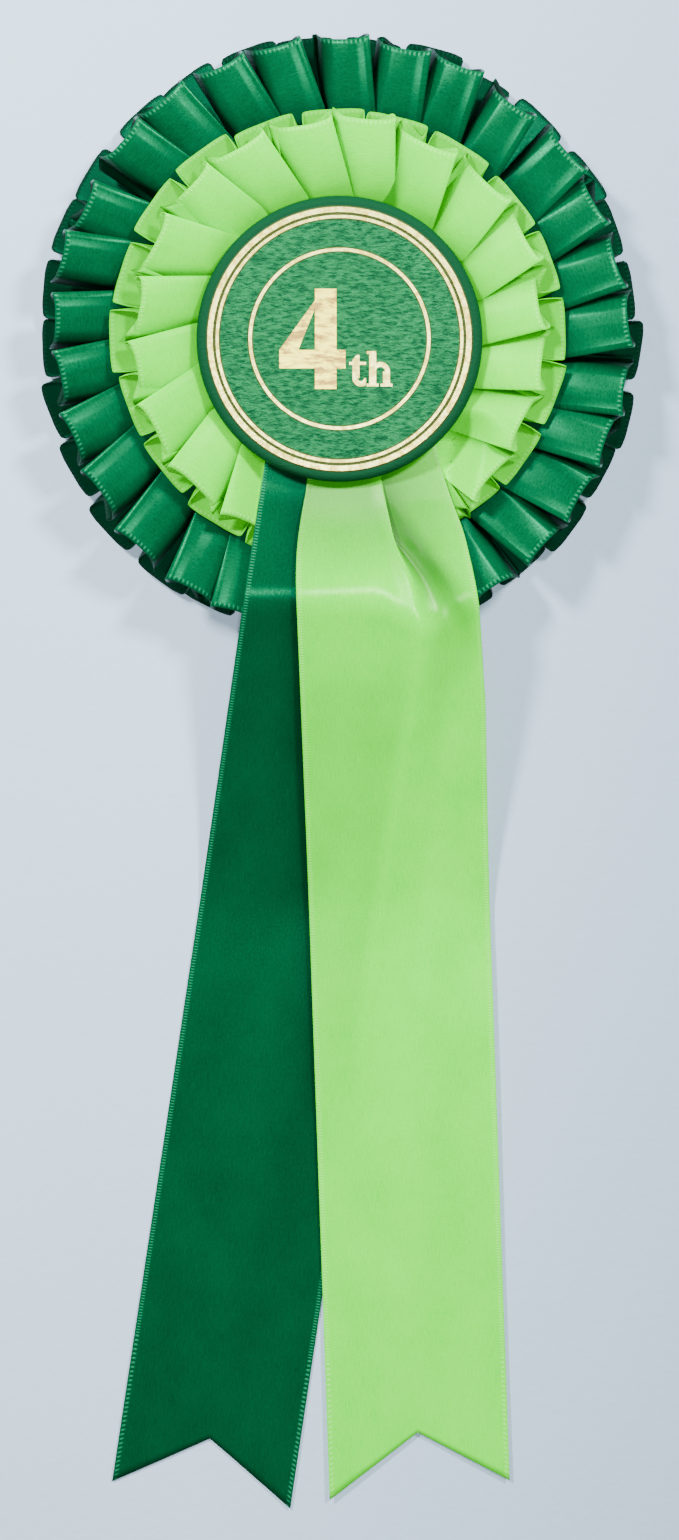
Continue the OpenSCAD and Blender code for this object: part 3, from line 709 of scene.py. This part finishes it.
def light_section(d):
    """The light tail is tucked narrower at its head: its left part folds over its right part. high is the
    tuck's height, deep the valley's, slab the ribbon's own swell beside them."""
    left = follow(d, ((21, -16), (29, -16), (36, -17.6), (42, -18.6), (48, -19), (60, -19)))
    right = follow(d, ((21, 10.5), (25, 10.9), (33, 13.2), (40, 15.6), (49, 17.3), (55, 18.1), (75, 19),
                       (90, 19)))
    crest = follow(d, ((21, -1.6), (29, -0.5), (42, 1.6), (49, 4.4), (58, 6.0), (75, 4.0), (95, 0.5),
                       (150, -9)))
    under = follow(d, ((21, -5.9), (29, -5.3), (34, -3.8), (40, -1.4), (44, 0.6), (50, 2.6), (58, 5.2),
                       (70, 6.5), (110, 8)))
    high = follow(d, ((21, 0.45), (27, 0.6), (32, 1.4), (40, 2.5), (47, 2.7), (54, 1.9), (62, 1.6), (80, 2.0),
                      (110, 1.8), (150, 0.9), (190, 0)))
    deep = follow(d, ((21, -0.1), (34, -0.15), (42, -0.25), (50, -0.3), (56, -0.2), (64, 0.5), (80, 0.8),
                      (120, 0.6), (170, 0)))
    slab = follow(d, ((21, 0.1), (30, 0.1), (36, 1.0), (50, 1.3), (60, 0.9), (90, 1.6), (130, 1.1),
                      (170, 0.3), (200, 0)))
    out = np.maximum(crest + under + 4.5, crest + 0.8)
    places = np.stack([left, left + 3.0, crest - 3.0, crest, crest + under, crest + under + 1.5,
                       out, out + 3.5, right], axis=1)
    places = np.minimum(places, right[:, None])
    heights = np.stack([slab * 0.6, slab * 0.8, 0.45 * high + 0.45 * slab, high, deep, deep, slab * 0.6,
                        slab * 0.5, slab * 0.3], axis=1)
    # painted shade of the corners: near the button, on the left part lower down, and in the valley beside the
    # tuck's crest
    painted_disc_shade = follow(d, ((21, 0.8), (32, 0.72), (42, 0.42), (50, 0.0)))
    left_dark = follow(d, ((21, 0), (58, 0), (75, 0.22), (130, 0.2), (170, 0)))
    valley = follow(d, ((21, 0.6), (33, 0.95), (48, 0.9), (58, 0.4), (75, 0)))
    left_part, right_part = painted_disc_shade + left_dark, painted_disc_shade * 0.6
    painted_shades = np.stack([left_part, left_part, left_part, right_part, valley, valley, valley,
                       right_part + valley * 0.3, right_part], axis=1)
    return places, heights, np.clip(painted_shades, 0, 1)


tail("dark_tail_ribbon", ("tail_dark", "tail_dark_head"), "dark_tail",
     DARK_ROOT_X, DARK_TILT, DARK_REACH, 0.0, -PAIR_STEP / 2, dark_section, light_tail_painted_shadow)
tail("light_tail_ribbon", ("tail_light", "tail_light_head"), "light_tail",
     LIGHT_ROOT_X, LIGHT_TILT, LIGHT_REACH, LIGHT_SLANT, PAIR_STEP / 2, light_section, no_shade)


# ---------------------------------------------------------------- centre button

def turned(name, profile, material, steps, bumps=None):
    """A solid of revolution about Z from a (r, z) profile in mm that starts and ends on the axis.
    bumps(verts) gives how far each point moves in Z."""
    profile = np.asarray(profile, float)
    angles = np.linspace(0, 2 * math.pi, steps, endpoint=False)
    ring = profile[1:-1]
    verts = [(0, 0, profile[0][1])]
    for r, z in ring:
        for angle in angles:
            verts.append((r * math.cos(angle), r * math.sin(angle), z))
    verts.append((0, 0, profile[-1][1]))
    verts = np.array(verts)
    if bumps is not None:
        verts[:, 2] += bumps(verts)
    faces = [(0, 1 + k, 1 + (k + 1) % steps) for k in range(steps)]
    for i in range(len(ring) - 1):
        base, over = 1 + i * steps, 1 + (i + 1) * steps
        faces += [(base + k, over + k, over + (k + 1) % steps, base + (k + 1) % steps)
                  for k in range(steps)]
    last, base = len(verts) - 1, 1 + (len(ring) - 1) * steps
    faces += [(base + k, last, base + (k + 1) % steps) for k in range(steps)]
    return mesh_object(name, verts * MM, faces, material)


def quarter(centre, r, start, end, steps=6):
    """An arc's (r, z) points, from the start angle to the end angle in degrees."""
    return [(centre[0] + r * math.cos(math.radians(start + (end - start) * i / steps)),
             centre[1] + r * math.sin(math.radians(start + (end - start) * i / steps)))
            for i in range(steps + 1)]


# The button and its pad in mm: outer radius, top, rolled rim, underside, hem, and the card disc inside
BUTTON_R, FACE_Z, RIM_ROLL, BUTTON_Z, HEM_T, HEM_R = 29.2, 18.2, 1.6, 14.9, 0.5, 26.0
BOARD_R, BOARD_TOP, BOARD_CHAMFER = 28.4, 17.5, 0.8
GRAIN_END, GRAIN_FADE = 26.6, 0.6
PAD_LOW, PAD_HIGH, PAD_R, PAD_BULGE, PAD_TEAR = 8.1, 15.4, 18.0, 0.25, 0.004
PAD_SIDE_R = 17.2 * MM     # points beyond this are the pad's cut side


def grain(verts):
    """Creases of the facing's top, in mm: long across the button, none at its rim."""
    heights = np.zeros(len(verts))
    radii = np.hypot(verts[:, 0], verts[:, 1])
    for i in np.nonzero((verts[:, 2] > FACE_Z - 0.02) & (radii < BUTTON_R - RIM_ROLL))[0]:
        x, y = verts[i, 0], verts[i, 1]
        fade = min(1.0, max(0.0, (GRAIN_END - radii[i]) / GRAIN_FADE))
        heights[i] = fade * (0.026 * noise.noise(Vector((x * 0.45, y * 1.3, 3.0)))
                             + 0.016 * noise.noise(Vector((x * 1.1, y * 2.9, 7.0))) - 0.012)
    return heights


def make_facing():
    top = [(0, FACE_Z)] + [(r, FACE_Z) for r in np.linspace(0.3, BUTTON_R - RIM_ROLL, 96)[:-1]]
    profile = (top + quarter((BUTTON_R - RIM_ROLL, FACE_Z - RIM_ROLL), RIM_ROLL, 90, 0, 12)
               + quarter((BUTTON_R - HEM_T, BUTTON_Z + HEM_T), HEM_T, 0, -90)
               + [(HEM_R + 0.1, BUTTON_Z), (HEM_R, BUTTON_Z + 0.1), (HEM_R, BUTTON_Z + HEM_T),
                  (BOARD_R, BUTTON_Z + HEM_T), (BOARD_R, BOARD_TOP - BOARD_CHAMFER),
                  (BOARD_R - BOARD_CHAMFER, BOARD_TOP), (0, BOARD_TOP)])
    facing = turned("button_facing", profile, LOOKS["facing"], 320, grain)
    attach(facing, "root")
    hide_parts("centre_face")


def make_pad():
    """The foam disc, pressed a little fatter in its middle height, with an uneven cut side."""
    low, high, r = PAD_LOW, PAD_HIGH, PAD_R
    side = [(r - 0.5, low), (r - 0.15, low + 0.3)]
    side += [(r + PAD_BULGE * math.sin(math.pi * share), low + (high - low) * share)
             for share in np.linspace(0.1, 0.9, 15)]
    side += [(r - 0.15, high - 0.3), (r - 0.5, high)]
    rings_low = [(q, low) for q in np.linspace(1, r - 1, 8)]
    rings_high = [(q, high) for q in np.linspace(r - 1, 1, 8)]
    profile = [(0, low)] + rings_low + side + rings_high + [(0, high)]
    pad = turned("foam_pad", profile, LOOKS["foam"], 120)
    co = np.array([v.co for v in pad.data.vertices])
    for i, p in enumerate(co):
        if np.hypot(p[0], p[1]) > PAD_SIDE_R:
            swell = 1 + PAD_TEAR * noise.noise(Vector(tuple(p * 900)))
            pad.data.vertices[i].co = (p[0] * swell, p[1] * swell, p[2])
    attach(pad, "root")
    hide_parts("centre_pad")


def make_thread(name, node, look, radius, z):
    """Two strands twisted round each other, laid in a ring over the gathered root."""
    strands, strand_r, twist_r, twists, steps, sides = 2, 0.11, 0.09, 60, 720, 6
    verts, faces = [], []
    for strand in range(strands):
        base = len(verts)
        for i in range(steps):
            a = 2 * math.pi * i / steps
            t = twists * a + math.pi * strand
            centre_r = radius + twist_r * math.cos(t)
            centre_z = z + twist_r * math.sin(t)
            for k in range(sides):
                q = 2 * math.pi * k / sides
                rr = centre_r + strand_r * math.cos(q)
                verts.append((rr * math.cos(a), rr * math.sin(a), centre_z + strand_r * math.sin(q)))
        for i in range(steps):
            j = (i + 1) % steps
            for k in range(sides):
                m = (k + 1) % sides
                faces.append((base + i * sides + k, base + i * sides + m,
                              base + j * sides + m, base + j * sides + k))
    obj = mesh_object(name, np.array(verts) * MM, faces, LOOKS[look])
    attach(obj, "root")
    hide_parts(node)


make_facing()
make_pad()
make_thread("outer_stitching", "outer_frill_thread", "dark_thread", 39.6, 9.9)
make_thread("inner_stitching", "inner_frill_thread", "light_thread", 24.2, 10.1)


# ---------------------------------------------------------------- plain looks for CAD nodes

def dress(node, look, bevel=0.0, segments=2):
    """Gives a CAD node its material, and rounds its edges by bevel mm."""
    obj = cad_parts[node]
    obj.data.materials.clear()
    obj.data.materials.append(LOOKS[look])
    if bevel:
        modifier = obj.modifiers.new("edge", "BEVEL")
        modifier.width = bevel * MM
        modifier.segments = segments
        modifier.limit_method = "ANGLE"
        modifier.angle_limit = math.radians(35)


for node_name, look_name, edge in (
        ("foil_rings", "foil_line", 0.04), ("foil_numeral", "foil", 0.04), ("foil_suffix", "foil_line", 0.04),
        ("pin_bar", "plate", 0.12), ("pin_rivets", "plate", 0), ("pin_hinge_rivet", "plate", 0.12),
        ("pin_catch", "plate", 0.08), ("pin_needle", "needle", 0), ("centre_board", "card", 0),
        ("backing_board", "card", 0.2), ("back_cover", "cover", 0.15)):
    dress(node_name, look_name, edge)
for node_name in ("inner_frill_staples", "outer_frill_staples", "tail_staples"):
    dress(node_name, "wire", 0.12, 3)


# ---------------------------------------------------------------- floor and lights

FLOOR_HALF, FLOOR_GAP = 3.0, 0.05 * MM
LIT_PLACE = (0, -0.05, 0)  # what every light points at
LIGHTS = (                 # name, place, diameter, watts, colour
    ("key_left", (-0.42, 0.42, 0.60), 0.14, 15.0, (0.97, 0.99, 1.0)),
    ("key_right", (0.42, 0.42, 0.60), 0.14, 13.0, (0.97, 0.99, 1.0)),
    ("overhead", (0.0, -0.10, 1.10), 0.12, 9.0, (0.95, 0.98, 1.0)),
)
ROOM_COLOUR, ROOM_STRENGTH = (0.84, 0.92, 1.0, 1), 0.10


def make_floor():
    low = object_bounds()[0][2] - FLOOR_GAP
    verts = [(x * FLOOR_HALF, y * FLOOR_HALF, low) for x, y in ((-1, -1), (1, -1), (1, 1), (-1, 1))]
    floor = mesh_object("table", verts, [(0, 1, 2, 3)], LOOKS["table"])


def area_light(name, place, size, power, colour):
    data = bpy.data.lights.new(name, "AREA")
    data.shape = "DISK"
    data.size = size
    data.energy = power
    data.color = colour
    light = bpy.data.objects.new(name, data)
    light.location = place
    light.rotation_euler = (Vector(LIT_PLACE) - Vector(place)).to_track_quat("-Z", "Y").to_euler()
    bpy.context.scene.collection.objects.link(light)


def make_lights():
    for light in LIGHTS:
        area_light(*light)
    world = bpy.data.worlds.new("soft_room")
    world.use_nodes = True
    background = world.node_tree.nodes["Background"]
    background.inputs[0].default_value = ROOM_COLOUR
    background.inputs[1].default_value = ROOM_STRENGTH
    bpy.context.scene.world = world


make_floor()
make_lights()
